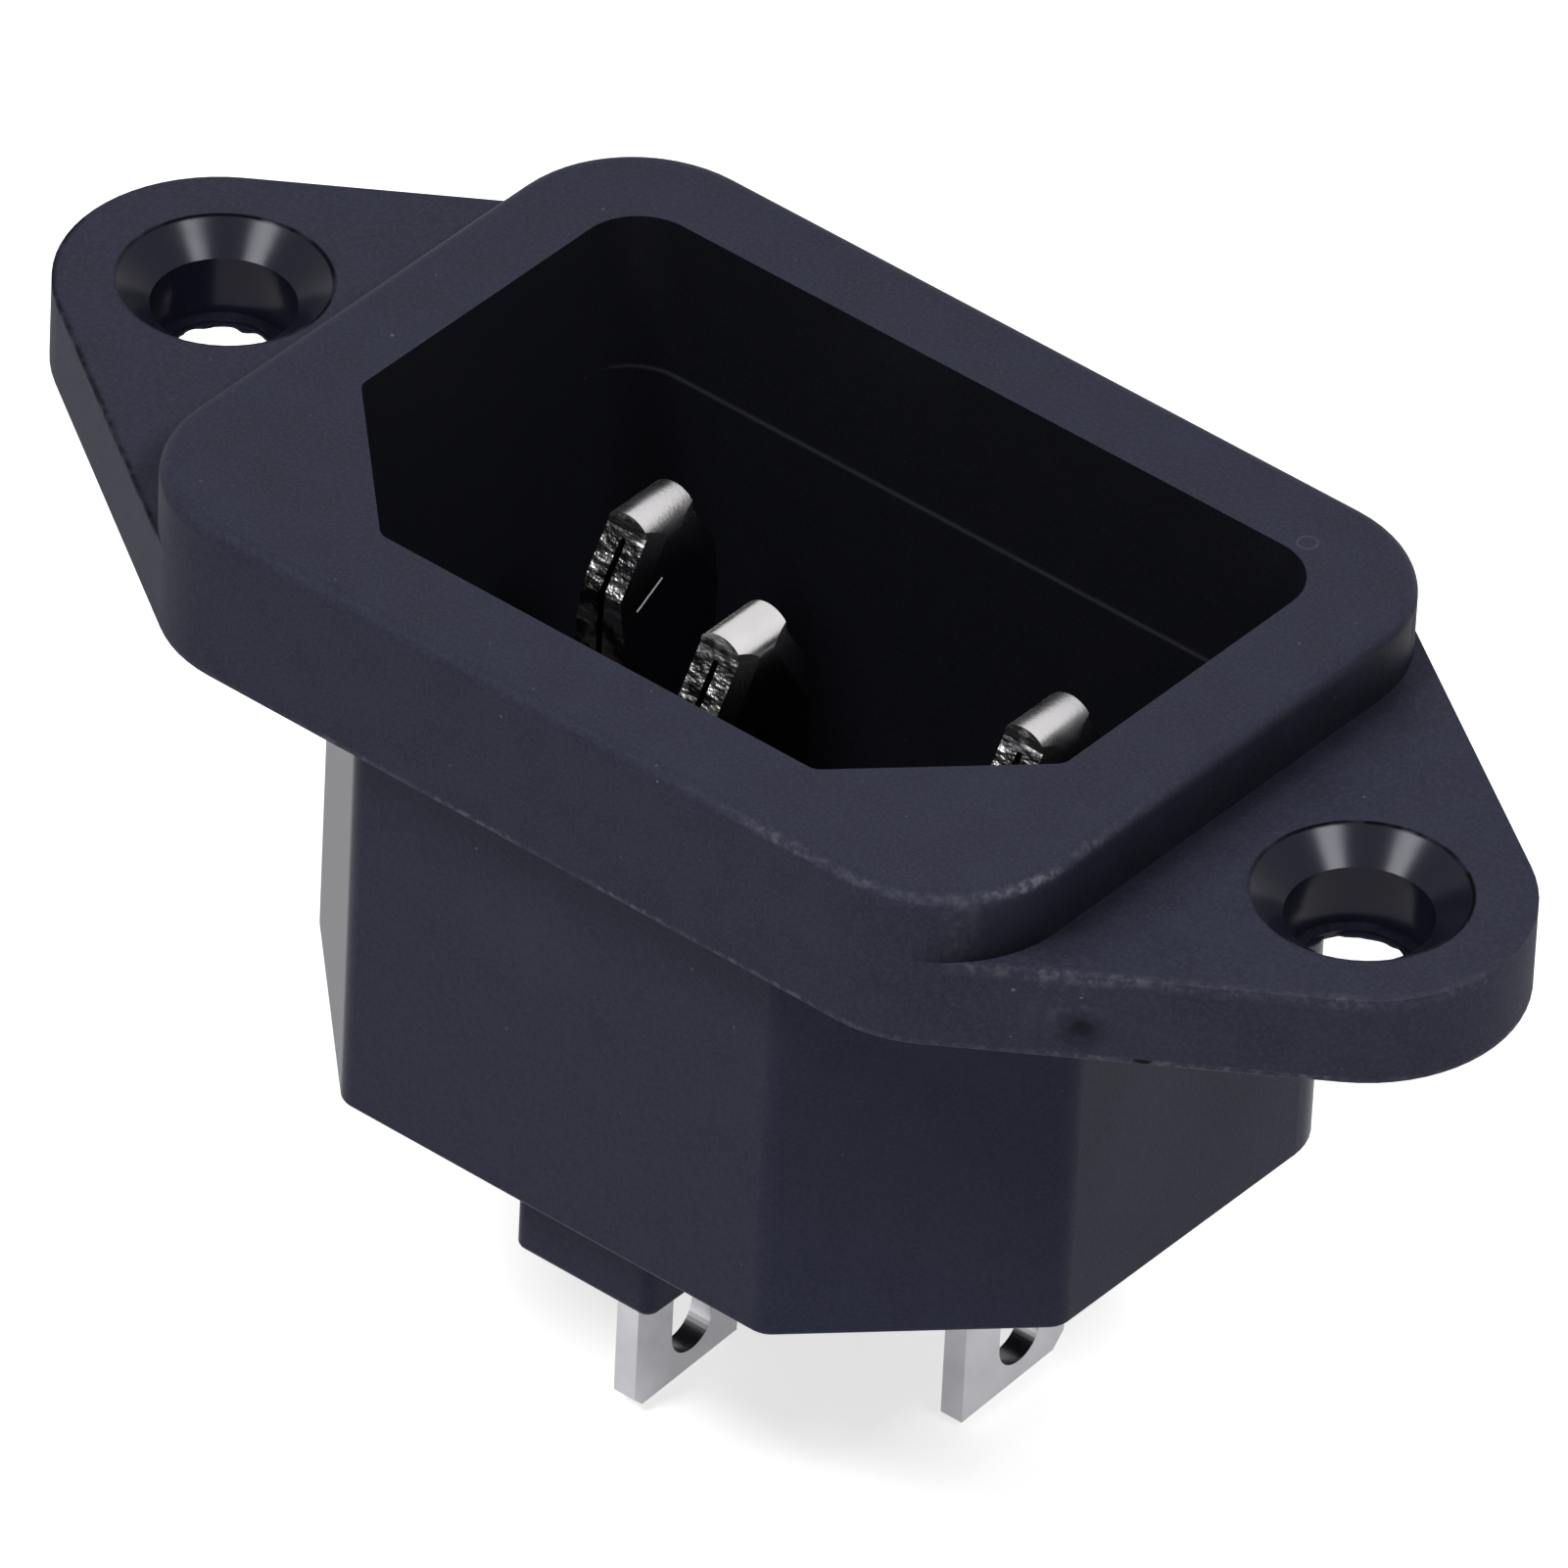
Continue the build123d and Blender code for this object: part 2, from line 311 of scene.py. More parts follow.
def finished(group, results):
    """The group with its results wired to named outputs."""
    for label in results:
        group.interface.new_socket(label, in_out="OUTPUT", socket_type="NodeSocketFloat")
    end = node(group, "NodeGroupOutput")
    for label, result in results.items():
        group.links.new(result, end.inputs[label])
    return group


def placed(tree, group, **values):
    """The outputs of a node group that is put in a material with its own values."""
    made = node(tree, "ShaderNodeGroup", node_tree=group)
    for label, value in values.items():
        feed(tree, made.inputs[label.replace("_", " ")], value)
    return made.outputs


def new_material(name):
    """A material, its node tree and its shader."""
    material = bpy.data.materials.new(name)
    material.use_nodes = True
    tree = material.node_tree
    return material, tree, tree.nodes["Principled BSDF"]


def relief(tree, shader, height, strength, depth):
    """Bump of so many metres on a shader's surface, from a height."""
    bump = node(tree, "ShaderNodeBump")
    bump.inputs["Strength"].default_value = strength
    bump.inputs["Distance"].default_value = depth
    wire(tree, (height, bump.inputs["Height"]), (bump.outputs["Normal"], shader.inputs["Normal"]))


def moulded_texture():
    """Spark-eroded grain, slow cloudiness and scattered pale specks of filler."""
    group, given = new_group(
        "moulded_texture",
        {
            "Grain per metre": 9000,
            "Clouds per metre": 650,
            "Specks per metre": 1300,
            "Speck size": 0.05,
            "Speck patches per metre": 700,
        },
    )
    place = place_on_part(group)
    cells = node(group, "ShaderNodeTexVoronoi")
    wire(group, (place, cells.inputs["Vector"]), (given["Specks per metre"], cells.inputs["Scale"]))
    uneven = noise(group, place, given["Speck patches per metre"])
    uneven = spread(group, uneven, low=0.2, high=1.5, start=0.35, end=0.65)
    speck = under(group, cells.outputs["Distance"], product(group, given["Speck size"], uneven))
    shade = node(group, "ShaderNodeSeparateColor")
    group.links.new(cells.outputs["Color"], shade.inputs["Color"])
    paleness = spread(group, shade.outputs["Red"], low=0.15, start=0.3)
    return finished(
        group,
        {
            "Height": noise(group, place, given["Grain per metre"]),
            "Clouds": noise(group, place, given["Clouds per metre"], detail=7),
            "Specks": product(group, speck, paleness),
        },
    )


def moulded_zones():
    """Masks over the recess, the rear body and the flange's upright edge."""
    group, given = new_group(
        "moulded_zones",
        {
            "Recess half length": 0.01245,
            "Recess half width": 0.0083,
            "Recess corner": 0.016,
            "Recess floor": -0.0116,
            "Rim": RIM_TOP - SKIN,
            "Ear top": EAR_TOP - SKIN,
            "Side wall": 0.0085,
            "Largest tilt": 0.5,
        },
    )
    along, across, up = axes(group, place_on_part(group))
    length = unsigned(group, along)
    width = unsigned(group, across)
    toward_corner = arithmetic(group, "SUBTRACT", length, across)
    recess = product(
        group,
        under(group, length, given["Recess half length"]),
        under(group, width, given["Recess half width"]),
        under(group, toward_corner, given["Recess corner"]),
        between(group, up, given["Recess floor"], given["Rim"]),
    )
    outside = inverse(group, recess)
    upright = under(group, unsigned(group, facing(group)[2]), given["Largest tilt"])
    on_flange = under(group, up, given["Ear top"])
    on_side = over(group, width, given["Side wall"])
    edge = product(group, upright, greater(group, on_flange, on_side), over(group, up, 0.0), outside)
    return finished(
        group,
        {
            "Recess": recess,
            "Outside": outside,
            "Body": product(group, outside, under(group, up, -MARGIN)),
            "Flange edge": edge,
        },
    )


def shaded_ends():
    """Mask over the shroud's end walls and the strip of ear at their foot, which little light reaches."""
    group, given = new_group(
        "shaded_ends",
        {
            "Outside": 1.0,
            "Rim": RIM_TOP - SKIN,
            "Ear top": EAR_TOP - SKIN,
            "Wall start": 0.0122,
            "Wall end": 0.0155,
            "Strip start": 0.0151,
            "Strip end": 0.017,
            "Strip core half width": 0.0065,
            "Strip half width": 0.0085,
            "Least level": 0.5,
        },
    )
    along, across, up = axes(group, place_on_part(group))
    length = unsigned(group, along)
    facing_x, _, facing_z = facing(group)
    lift = spread(group, up, high=0.3, start=given["Ear top"], end=given["Rim"])
    toward_end = arithmetic(group, "SUBTRACT", unsigned(group, facing_x), lift)
    wall = product(
        group,
        spread(group, toward_end, start=0.4, end=0.7),
        between(group, length, given["Wall start"], given["Wall end"]),
        spread(group, up, low=1.0, high=0.6, start=given["Ear top"], end=given["Rim"]),
        over(group, up, EAR_TOP + SKIN),
        given["Outside"],
    )
    strip = product(
        group,
        spread(group, length, low=0.7, high=0.0, start=given["Strip start"], end=given["Strip end"]),
        between(group, up, EAR_TOP - MARGIN, EAR_TOP + MARGIN),
        over(group, facing_z, given["Least level"]),
        near(group, across, given["Strip core half width"], given["Strip half width"]),
    )
    return finished(group, {"Shade": greater(group, wall, strip)})


def ear_outline():
    """How far a point lies inside the outline of the mounting ears, in metres."""
    group, given = new_group(
        "ear_outline",
        {
            "Half spacing": HOLE_X,
            "End radius": EAR_RADIUS,
            "Side distance": 0.01603,
            "Side slope X": 0.564,
            "Side slope Y": 0.8258,
        },
    )
    along, across = axes(group, place_on_part(group))[:2]
    length = unsigned(group, along)
    width = unsigned(group, across)
    by_length = product(group, length, given["Side slope X"])
    by_width = product(group, width, given["Side slope Y"])
    reach = arithmetic(group, "ADD", by_length, by_width)
    to_side = arithmetic(group, "SUBTRACT", given["Side distance"], reach)
    past_hole = arithmetic(group, "SUBTRACT", length, given["Half spacing"])
    to_end = arithmetic(group, "SUBTRACT", given["End radius"], hypotenuse(group, past_hole, width))
    round_from = product(group, given["End radius"], given["Side slope X"])
    on_end = over(group, past_hole, round_from)
    return finished(group, {"Distance": mixed_value(group, on_end, to_side, to_end)})


def wear_and_highlight_line():
    """Broken pale line along an edge that lies at one height, in metres, with its nicks, for wear and for
    painted highlights.
    """
    group, given = new_group(
        "wear_and_highlight_line",
        {
            "Height": 0.0,
            "Half width": 0.0001,
            "Wear": 0.5,
            "Patches per metre": 480,
            "Grit per metre": GRIT_PER_METRE,
            "Nicks per metre": 640,
        },
    )
    place = place_on_part(group)
    away = arithmetic(group, "SUBTRACT", axes(group, place)[2], given["Height"])
    ratio = arithmetic(group, "DIVIDE", away, given["Half width"])
    band = near(group, ratio, core=0.5, edge=1.0)
    patches = patchy(group, place, given["Patches per metre"], least=0.3, start=0.44, end=0.62)
    grit = patchy(group, place, given["Grit per metre"], least=0.1, start=0.44, end=0.62, detail=5)
    nicks = patchy(group, place, given["Nicks per metre"], least=0.0, start=0.66, end=0.7)
    return finished(
        group,
        {
            "Wear and highlight": product(group, band, patches, grit, given["Wear"]),
            "Nicks": product(group, band, nicks),
            "Band": band,
        },
    )


def soft_spot():
    """Round mask that fades out from a centre, in metres."""
    group, given = new_group("soft_spot", {"Centre": (0, 0, 0), "Radius": 0.001, "Core": 0.0})
    away = distance(group, place_on_part(group), given["Centre"])
    ratio = arithmetic(group, "DIVIDE", away, given["Radius"])
    return finished(group, {"Mask": near(group, ratio, core=given["Core"], edge=1.0)})


def polished_bores():
    """Masks over the two countersunk holes and along their upper edges, where a thin line of painted
    shade goes.
    """
    group, given = new_group(
        "polished_bores",
        {"Half spacing": HOLE_X, "Radius": 0.00301, "Gaps per metre": 900},
    )
    place = place_on_part(group)
    along, across = axes(group, place)[:2]
    beside = arithmetic(group, "SUBTRACT", unsigned(group, along), given["Half spacing"])
    ratio = arithmetic(group, "DIVIDE", hypotenuse(group, beside, across), given["Radius"])
    line = near(group, arithmetic(group, "SUBTRACT", ratio, 1.0), core=0.01, edge=0.028)
    gaps = patchy(group, place, given["Gaps per metre"], least=0.5, start=0.38, end=0.5)
    far_side = spread(group, across, low=0.2, start=-0.0022, end=0.0004)
    rim = product(group, line, gaps, far_side)
    return finished(group, {"Mask": under(group, ratio, 1.0), "Rim": rim})


MOULDED_TEXTURE = moulded_texture()
MOULDED_ZONES = moulded_zones()
SHADED_ENDS = shaded_ends()
EAR_OUTLINE = ear_outline()
WEAR_AND_HIGHLIGHT_LINE = wear_and_highlight_line()
SOFT_SPOT = soft_spot()
POLISHED_BORES = polished_bores()


def worn_and_highlighted(tree, colour, outside):
    """Colour with the worn edges of the flange, part painted highlight, the rim's near right corner and
    the body's foot.
    """
    corner = placed(tree, SOFT_SPOT, Centre=SCUFFED_CORNER, Radius=0.009, Core=0.3)
    foot = placed(tree, WEAR_AND_HIGHLIGHT_LINE, Height=BODY_FOOT + MARGIN, Half_width=0.0001, Wear=0.25)
    # The flange's pale edge line is part wear and part painted highlight along the edge
    flange = placed(tree, WEAR_AND_HIGHLIGHT_LINE, Height=0.0001, Half_width=0.00017, Wear=0.6)
    rim = placed(tree, WEAR_AND_HIGHLIGHT_LINE, Height=RIM_TOP - 0.00015, Half_width=0.00014, Wear=0.85)
    on_rim = product(tree, rim["Wear and highlight"], corner["Mask"])
    for wear_and_highlight in (foot["Wear and highlight"], flange["Wear and highlight"], on_rim):
        colour = marked(tree, colour, wear_and_highlight, outside, SCUFF_AND_PAINTED_HIGHLIGHT)
    return marked(tree, colour, flange["Nicks"], outside, NICK_AND_PAINTED_SHADE)


def ear_marks(tree, colour):
    """Colour with the right ear's pale edge, part wear and part painted highlight, and painted shade
    along the left one's edge.
    """
    outline = placed(tree, EAR_OUTLINE)["Distance"]
    place = place_on_part(tree)
    along, across, up = axes(tree, place)
    near_side = under(tree, across, NEAR_SIDE_Y)
    # Right ear's pale edge line: part wear, part painted highlight of its rounded edge
    pale = product(
        tree,
        near(tree, outline, core=0.00005, edge=0.0003),
        patchy(tree, place, GRIT_PER_METRE, least=0.15, start=0.44, end=0.62, detail=5),
        patchy(tree, place, EAR_PATCHES_PER_METRE, least=0.3, start=0.42, end=0.6),
        near_side,
        spread(tree, along, start=RIGHT_EAR_X, end=RIGHT_EAR_X + 0.0008),
        spread(tree, up, start=EAR_TOP - EAR_WEAR_AND_HIGHLIGHT_DEPTH, end=EAR_TOP - EDGE_LINE_DEPTH),
    )
    # Painted shade: a thin dark line along the left ear's near top edge
    painted_edge_shade = product(
        tree,
        near(tree, outline, core=0.00004, edge=0.00018),
        patchy(tree, place, EDGE_SHADE_GAPS_PER_METRE, least=0.35, start=0.38, end=0.55),
        near_side,
        under(tree, along, LEFT_EAR_X),
        between(tree, up, EAR_TOP - EDGE_LINE_DEPTH, EAR_TOP + 2 * SKIN),
        EDGE_SHADE_STRENGTH,
    )
    colour = marked(tree, colour, pale, EAR_WEAR_AND_HIGHLIGHT_STRENGTH, SCUFF_AND_PAINTED_HIGHLIGHT)
    return mixed(tree, painted_edge_shade, colour, NICK_AND_PAINTED_SHADE), painted_edge_shade


def moulding_marks(tree, colour):
    """Colour with the gate's smear and its mark darkened by painted shade, a core pin's ring and a bloom
    on the near side.
    """
    place = place_on_part(tree)
    smear = placed(tree, SOFT_SPOT, Centre=GATE_SMEAR, Radius=0.0013)["Mask"]
    rubbed = patchy(tree, place, RUBS_PER_METRE, least=0.0, start=0.5, end=0.68, detail=5)
    gate = placed(tree, SOFT_SPOT, Centre=GATE_MARK, Radius=0.00078)["Mask"]
    from_ring = arithmetic(tree, "SUBTRACT", distance(tree, place, PIN_RING), PIN_RING_RADIUS)
    ring = near(tree, from_ring, core=0.00001, edge=0.00005)
    bloom = placed(tree, SOFT_SPOT, Centre=BLOOM, Radius=0.0028)["Mask"]
    for mask, strength, mark in (
        (product(tree, smear, rubbed), 0.3, SCUFF_AND_PAINTED_HIGHLIGHT),
        # Painted shade in the gate's dimple
        (gate, 0.8, NICK_AND_PAINTED_SHADE),
        (ring, 0.32, SCUFF_AND_PAINTED_HIGHLIGHT),
        (bloom, 0.04, SCUFF_AND_PAINTED_HIGHLIGHT),
    ):
        colour = marked(tree, colour, mask, strength, mark)
    return colour


def black_nylon():
    """Matte charcoal moulding with a slight blue cast, smooth in the bores, with painted shade in the
    recess.
    """
    material, tree, shader = new_material("black_nylon")
    shader.inputs["Specular IOR Level"].default_value = NYLON_SHINE
    shader.inputs["Specular Tint"].default_value = NYLON_SHINE_TINT
    shader.inputs["Coat Roughness"].default_value = BORE_COAT_ROUGHNESS
    texture = placed(tree, MOULDED_TEXTURE)
    zones = placed(tree, MOULDED_ZONES)
    shade = placed(tree, SHADED_ENDS, Outside=zones["Outside"])["Shade"]
    bores = placed(tree, POLISHED_BORES)
    # Painted highlight: a pale line on the far recess wall, where its ledge would catch light
    ledge_painted_highlight = placed(tree, WEAR_AND_HIGHLIGHT_LINE, Height=RIM_TOP - LEDGE_BELOW_RIM, Half_width=0.00007)["Band"]
    far_wall = over(tree, axes(tree, place_on_part(tree))[1], FAR_WALL_Y)

    colour = mixed(tree, texture["Clouds"], NYLON_DARK, NYLON_LIGHT)
    grain = spread(tree, texture["Height"], high=0.55, start=0.43, end=0.65)
    colour = mixed(tree, grain, colour, NYLON_GRAIN)
    colour = marked(tree, colour, texture["Specks"], FILLER_STRENGTH, FILLER)
    colour = marked(tree, colour, zones["Body"], BODY_STRENGTH, NYLON_BODY)
    colour = worn_and_highlighted(tree, colour, zones["Outside"])
    colour, painted_edge_shade = ear_marks(tree, colour)
    colour = moulding_marks(tree, colour)
    for mask, strength, tone in (
        # Painted shade: the recess is darkened as if little light reached its walls and floor
        (zones["Recess"], 0.85, RECESS_PAINTED_SHADE),
        # Painted highlight along the recess ledge
        (product(tree, ledge_painted_highlight, far_wall, zones["Recess"]), 0.075, SCUFF_AND_PAINTED_HIGHLIGHT),
        (bores["Mask"], 0.85, BORE),
        # Painted shade: a thin dark line along the far upper edge of each bore
        (bores["Rim"], 1.0, NICK_AND_PAINTED_SHADE),
        # Painted shade on the shroud's end walls and on the ear beside them
        (shade, 0.75, NICK_AND_PAINTED_SHADE),
    ):
        colour = marked(tree, colour, mask, strength, tone)

    rough = spread(tree, texture["Clouds"], low=0.46, high=0.54, start=0.3, end=0.7)
    for mask, roughness in (
        (zones["Flange edge"], EDGE_ROUGHNESS),
        (zones["Body"], BODY_ROUGHNESS),
        (zones["Recess"], RECESS_ROUGHNESS),
        (bores["Mask"], BORE_ROUGHNESS),
        (greater(tree, painted_edge_shade, bores["Rim"]), DARK_LINE_ROUGHNESS),
    ):
        rough = mixed_value(tree, mask, rough, roughness)

    coat = product(tree, bores["Mask"], inverse(tree, bores["Rim"]), BORE_COAT)
    wire(
        tree,
        (colour, shader.inputs["Base Color"]),
        (rough, shader.inputs["Roughness"]),
        (coat, shader.inputs["Coat Weight"]),
    )
    height = product(tree, texture["Height"], inverse(tree, bores["Mask"]))
    relief(tree, shader, height, GRAIN_STRENGTH, GRAIN_DEPTH)
    return material


nylon = black_nylon()
frame["nodes"]["housing"].material_slots[0].material = nylon


# Moulding flash in the fixing holes
# A thin ragged web of nylon round the foot of each hole, left where the two core pins met. It is
# one with the housing.

FLASH_OUTER = HOLE_LIP_RADIUS + SKIN
FLASH_INNER = 0.00157
FLASH_RAGGED = 0.00011
FLASH_GRIT = 0.00001
FLASH_LOW = 0.00004
FLASH_HIGH = 0.0001
FLASH_POINTS = 96
FLASH_WAVES = range(2, 18)
FLASH_FALL = 0.4


def torn_radii(seed):
    """Radii round a web's inner edge, torn by waves of random size, the short ones weaker."""
    chance = random.Random(seed)
    waves = [
        (count, chance.uniform(0, 2 * pi), chance.uniform(0.3, 1.0) / count**FLASH_FALL)
        for count in FLASH_WAVES
    ]
    scale = 2 * FLASH_RAGGED / sum(size for count, turn, size in waves)
    radii = []
    for index in range(FLASH_POINTS):
        angle = 2 * pi * index / FLASH_POINTS
        tear = scale * sum(size * sin(count * angle + turn) for count, turn, size in waves)
        radii.append(FLASH_INNER + tear + chance.uniform(-FLASH_GRIT, FLASH_GRIT))
    return radii


def flash_web(name, x, seed):
    """Closed ring whose inner edge is torn, round an upright line at x."""
    shape = bmesh.new()
    sections = []
    for index, inner in enumerate(torn_radii(seed)):
        angle = 2 * pi * index / FLASH_POINTS
        corners = (
            (inner, FLASH_LOW),
            (inner, FLASH_HIGH),
            (FLASH_OUTER, FLASH_HIGH),
            (FLASH_OUTER, FLASH_LOW),
        )
        sections.append(
            [
                shape.verts.new((x + radius * cos(angle), radius * sin(angle), height))
                for radius, height in corners
            ]
        )
    for first, second in zip(sections, sections[1:] + sections[:1]):
        for start in range(4):
            end = (start + 1) % 4
            shape.faces.new((first[start], second[start], second[end], first[end]))
    bmesh.ops.recalc_face_normals(shape, faces=shape.faces)
    mesh = bpy.data.meshes.new(name)
    shape.to_mesh(mesh)
    shape.free()
    mesh.materials.append(nylon)
    web = bpy.data.objects.new(name, mesh)
    bpy.context.collection.objects.link(web)
    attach(web, "root")


flash_web("flash_left", -HOLE_X, seed=7)
flash_web("flash_right", HOLE_X, seed=11)


# Contacts
# Three strips of brass, nickel plated, each folded double to make a blade and pressed down into
# the floor from the mouth. Their sheared edges are torn and bright, and the flat lugs are duller.

line_top_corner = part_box("line_contact")[1]
POLE_TIP_Z = line_top_corner.z
EARTH_TIP_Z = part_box("earth_contact")[1].z
BETWEEN_ROWS_Y = 0.0006

# A painted highlight: the thin bright glint line on the line blade's side
GLINT_MIDDLE = (line_top_corner.x, 0.0019, -0.00189)
GLINT_DIRECTION = (0.0, 0.866, 0.5)
GLINT_HALF_LENGTH = 0.0006
GLINT_HALF_WIDTH = 0.00004
GLINT_ROUGHNESS = 0.75

PLATE_DARK = (0.62, 0.60, 0.61, 1)
PLATE_LIGHT = (0.74, 0.725, 0.74, 1)
SATIN_DARK = (0.56, 0.55, 0.58, 1)
SATIN_LIGHT = (0.72, 0.71, 0.74, 1)
UNLIT_METAL = (0.05, 0.05, 0.055, 1)
UNLIT_STRENGTH = 0.92
# Painted highlight colour for the glint line
PAINTED_GLINT = (0.95, 0.95, 0.95, 1)
CUT_FACE_ROUGHNESS = 0.32
STAINS_PER_METRE = 1100
ROLLING_PER_METRE = 9000

# How far a flat side and a cut face look along X, at least and at most
FLAT_SIDE_TURN = 0.9
CUT_FACE_TURN = 0.5

TEAR_STRETCH = (0.45, 0.45, 1.3)
TEAR_STRENGTH = 2.2
ROLLING_STRETCH = (1, 1, 0.06)
ROLLING_STRENGTH = 0.08
PLATE_RELIEF_DEPTH = 0.00005


def stretched(tree, place, scale):
    """A place scaled along each axis, so that its noise stretches."""
    made = node(tree, "ShaderNodeMapping")
    made.inputs["Scale"].default_value = scale
    tree.links.new(place, made.inputs["Vector"])
    return made.outputs["Vector"]


def torn_edges():
    """Mask, height and pockets of painted shade for the blades' sheared edges, torn across the strip."""
    group, given = new_group(
        "torn_edges",
        {
            "Tears per metre": 2900,
            "Pits per metre": 6500,
            "Pit height": 0.35,
            "Pockets per metre": 1500,
            "Lowest": BODY_FOOT,
            "Least turn": 0.6,
        },
    )
    place = place_on_part(group)
    sheared = over(group, unsigned(group, facing(group)[1]), given["Least turn"])
    mask = product(group, sheared, over(group, axes(group, place)[2], given["Lowest"]))
    across_strip = stretched(group, place, TEAR_STRETCH)
    tears = noise(group, across_strip, given["Tears per metre"], detail=2)
    pits = product(group, noise(group, place, given["Pits per metre"], detail=2), given["Pit height"])
    # Painted shade in the pockets of the torn edges
    pockets = noise(group, place, given["Pockets per metre"])
    pockets = spread(group, pockets, low=1.0, high=0.0, start=0.47, end=0.6)
    return finished(
        group,
        {
            "Mask": mask,
            "Height": arithmetic(group, "ADD", tears, pits),
            "Pockets": product(group, mask, pockets),
        },
    )


def thin_line():
    """Thin straight mark on a flat side, from its middle, its direction and its size in metres."""
    group, given = new_group(
        "thin_line",
        {
            "Middle": (0, 0, 0),
            "Direction": (0, 1, 0),
            "Half length": 0.0004,
            "Half width": 0.00003,
        },
    )
    offset = node(group, "ShaderNodeVectorMath", operation="SUBTRACT")
    along = node(group, "ShaderNodeVectorMath", operation="DOT_PRODUCT")
    place = place_on_part(group)
    wire(
        group,
        (place, offset.inputs[0]),
        (given["Middle"], offset.inputs[1]),
        (offset.outputs["Vector"], along.inputs[0]),
        (given["Direction"], along.inputs[1]),
    )
    step = along.outputs["Value"]
    away = distance(group, place, given["Middle"])
    squares = arithmetic(group, "SUBTRACT", product(group, away, away), product(group, step, step))
    sideways = arithmetic(group, "SQRT", squares)
    thin = under(group, sideways, given["Half width"])
    short = under(group, unsigned(group, step), given["Half length"])
    return finished(group, {"Mask": product(group, thin, short)})


TORN_EDGES = torn_edges()
THIN_LINE = thin_line()


def plated_strip():
    """Bright nickel plate, faint rolling lines, duller lugs, torn sheared edges, painted shade lower down
    and a painted glint.
    """
    material, tree, shader = new_material("nickel_plated_strip")
    shader.inputs["Metallic"].default_value = 1.0
    place = place_on_part(tree)
    across, up = axes(tree, place)[1:]
    facing_x, _, facing_z = facing(tree)
    stains = noise(tree, place, STAINS_PER_METRE, detail=6)
    torn = placed(tree, TORN_EDGES)
    glint = placed(
        tree,
        THIN_LINE,
        Middle=GLINT_MIDDLE,
        Direction=GLINT_DIRECTION,
        Half_length=GLINT_HALF_LENGTH,
        Half_width=GLINT_HALF_WIDTH,
    )["Mask"]
    lug = under(tree, up, BODY_FOOT)
    flat_side = over(tree, unsigned(tree, facing_x), FLAT_SIDE_TURN)
    cut_face = under(tree, unsigned(tree, facing_x), CUT_FACE_TURN)
    tip = mixed_value(tree, under(tree, across, BETWEEN_ROWS_Y), POLE_TIP_Z, EARTH_TIP_Z)
    below_tip = arithmetic(tree, "SUBTRACT", tip, up)

    plate = mixed(tree, stains, PLATE_DARK, PLATE_LIGHT)
    # Painted shade: the blades' flat sides darken further below the tip, deeper in the recess
    painted_shade_below_tip = spread(tree, below_tip, high=0.6, start=0.0008, end=0.0022)
    plate = marked(tree, plate, flat_side, painted_shade_below_tip, UNLIT_METAL)
    satin = mixed(tree, stains, SATIN_DARK, SATIN_LIGHT)
    colour = mixed(tree, lug, plate, satin)
    # Painted shade at the foot of the lugs' slots
    painted_slot_shade = product(tree, lug, spread(tree, facing_z, start=0.35, end=0.75))
    unlit = greater(tree, torn["Pockets"], painted_slot_shade)
    colour = marked(tree, colour, unlit, UNLIT_STRENGTH, UNLIT_METAL)
    # Painted highlight: the glint line
    colour = mixed(tree, glint, colour, PAINTED_GLINT)

    flat_rough = spread(tree, below_tip, low=0.3, high=0.13, start=0.0004, end=0.0015)
    fold_rough = spread(tree, stains, low=0.24, high=0.32, start=0.3, end=0.7)
    on_fold = spread(tree, facing_z, end=0.35)
    blade_rough = mixed_value(tree, on_fold, flat_rough, fold_rough)
    lug_rough = spread(tree, stains, low=0.38, high=0.5, start=0.3, end=0.7)
    lug_rough = mixed_value(tree, cut_face, lug_rough, CUT_FACE_ROUGHNESS)
    rough = mixed_value(tree, lug, blade_rough, lug_rough)
    torn_rough = spread(tree, below_tip, low=0.6, high=0.3, start=0.0003, end=0.0009)
    rough = mixed_value(tree, torn["Mask"], rough, torn_rough)
    rough = mixed_value(tree, glint, rough, GLINT_ROUGHNESS)
    wire(tree, (colour, shader.inputs["Base Color"]), (rough, shader.inputs["Roughness"]))

    rolling = noise(tree, stretched(tree, place, ROLLING_STRETCH), ROLLING_PER_METRE)
    deep = product(tree, torn["Mask"], torn["Height"], TEAR_STRENGTH)
    fine = product(tree, rolling, ROLLING_STRENGTH)
    height = arithmetic(tree, "ADD", deep, fine)
    relief(tree, shader, height, strength=1.0, depth=PLATE_RELIEF_DEPTH)
    return material


nickel_plate = plated_strip()
for strip in ("line_contact", "neutral_contact", "earth_contact"):
    frame["nodes"][strip].material_slots[0].material = nickel_plate


# Floor and light
# A white table just under the lugs and a white room, with two soft lamps in front of the object
# at either hand, which the countersinks reflect as a pair of bright streaks.

TABLE_HALF = 1.5
TABLE_GAP = 0.0002
TABLE_WHITE = (0.85, 0.85, 0.85, 1)
TABLE_SEEN = 0.65
TABLE_MIRRORED = 0.3
ROOM_SEEN = 1.0
ROOM_LIGHT = 0.22
LAMP_RISE_DEGREES = 55
LAMP_DISTANCE = 0.5
LAMP_SIZE = 0.14
LAMP_WATTS = 1.4
LEFT_LAMP_DEGREES = -110
RIGHT_LAMP_DEGREES = -3


def mirror_rays(tree, path):
    """One for the rays that come from a mirroring or a clear surface."""
    return arithmetic(tree, "ADD", path.outputs["Is Glossy Ray"], path.outputs["Is Transmission Ray"])


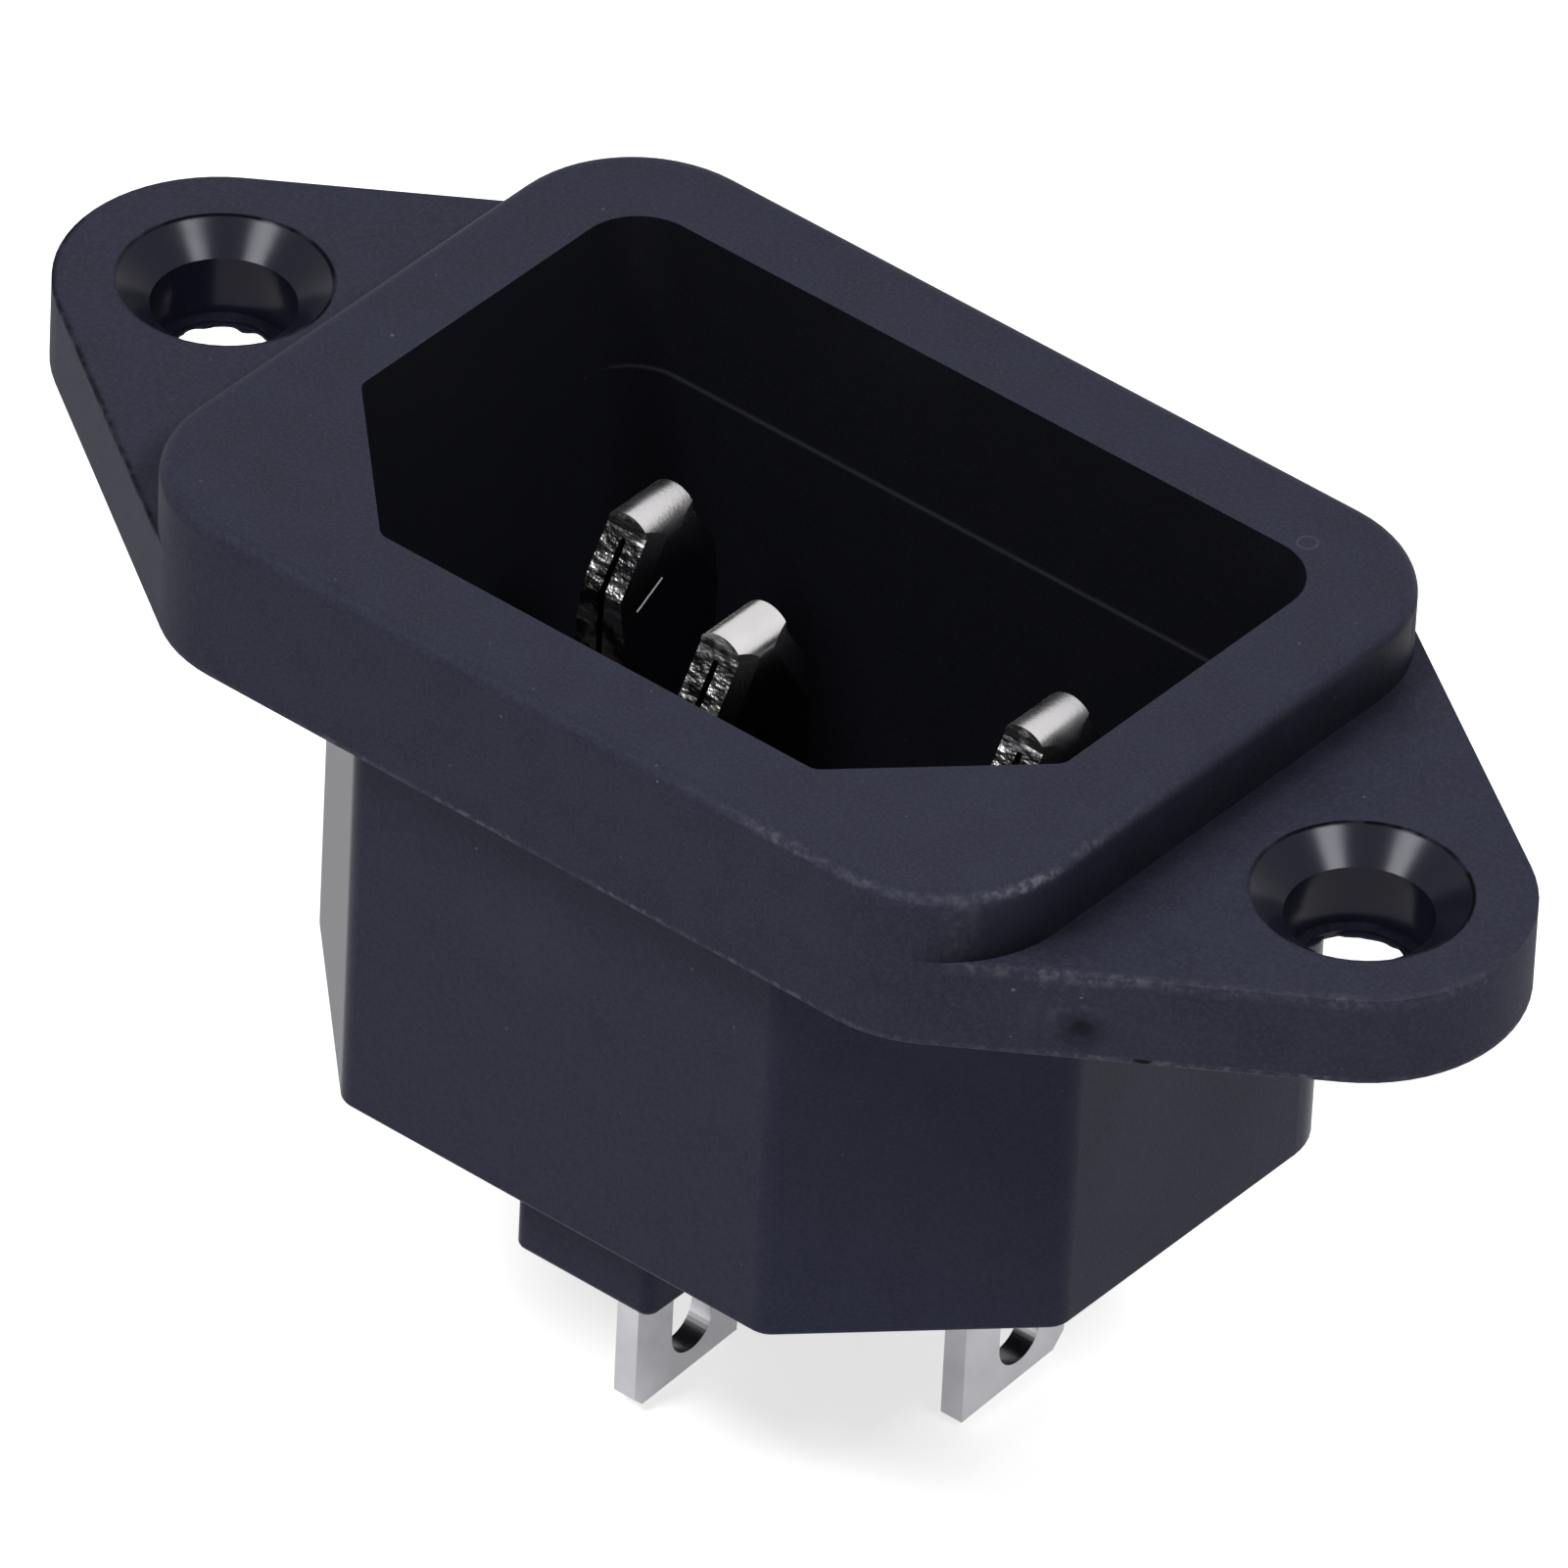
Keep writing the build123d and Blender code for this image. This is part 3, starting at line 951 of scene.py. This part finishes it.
def white_table():
    """White sheet that shows as white where no shadow falls on it."""
    material, tree, shader = new_material("white_table")
    shader.inputs["Base Color"].default_value = TABLE_WHITE
    shader.inputs["Roughness"].default_value = 1.0
    shader.inputs["Specular IOR Level"].default_value = 0.0
    glow = node(tree, "ShaderNodeEmission")
    path = node(tree, "ShaderNodeLightPath")
    seen = product(tree, path.outputs["Is Camera Ray"], TABLE_SEEN)
    mirrored = product(tree, mirror_rays(tree, path), TABLE_MIRRORED)
    both = node(tree, "ShaderNodeAddShader")
    wire(
        tree,
        (arithmetic(tree, "ADD", seen, mirrored), glow.inputs["Strength"]),
        (shader.outputs["BSDF"], both.inputs[0]),
        (glow.outputs["Emission"], both.inputs[1]),
        (both.outputs["Shader"], tree.nodes["Material Output"].inputs["Surface"]),
    )
    return material


table_mesh = bpy.data.meshes.new("table")
sheet = bmesh.new()
sheet.faces.new(
    [
        sheet.verts.new((x * TABLE_HALF, y * TABLE_HALF, 0))
        for x, y in ((-1, -1), (1, -1), (1, 1), (-1, 1))
    ]
)
sheet.to_mesh(table_mesh)
sheet.free()
table_mesh.materials.append(white_table())
table = bpy.data.objects.new("table", table_mesh)
table.location.z = cad_low.z - TABLE_GAP
bpy.context.collection.objects.link(table)


def soft_lamp(name, azimuth):
    """Square area lamp that looks at the object from a bearing, in degrees."""
    data = bpy.data.lights.new(name, "AREA")
    data.shape = "SQUARE"
    data.size = LAMP_SIZE
    data.energy = LAMP_WATTS
    lamp = bpy.data.objects.new(name, data)
    bearing = radians(azimuth)
    rise = radians(LAMP_RISE_DEGREES)
    direction = Vector((cos(bearing) * cos(rise), sin(bearing) * cos(rise), sin(rise)))
    lamp.location = LAMP_DISTANCE * direction
    lamp.rotation_euler = direction.to_track_quat("Z", "Y").to_euler()
    bpy.context.collection.objects.link(lamp)


soft_lamp("left_lamp", LEFT_LAMP_DEGREES)
soft_lamp("right_lamp", RIGHT_LAMP_DEGREES)

room = bpy.data.worlds.new("white_room")
room.use_nodes = True
room_tree = room.node_tree
backdrop = room_tree.nodes["Background"]
backdrop.inputs["Color"].default_value = (1, 1, 1, 1)
room_path = node(room_tree, "ShaderNodeLightPath")
shown = arithmetic(
    room_tree,
    "ADD",
    room_path.outputs["Is Camera Ray"],
    mirror_rays(room_tree, room_path),
)
brightness = spread(room_tree, shown, low=ROOM_LIGHT, high=ROOM_SEEN)
room_tree.links.new(brightness, backdrop.inputs["Strength"])
bpy.context.scene.world = room
bpy.context.scene.view_settings.view_transform = "Standard"
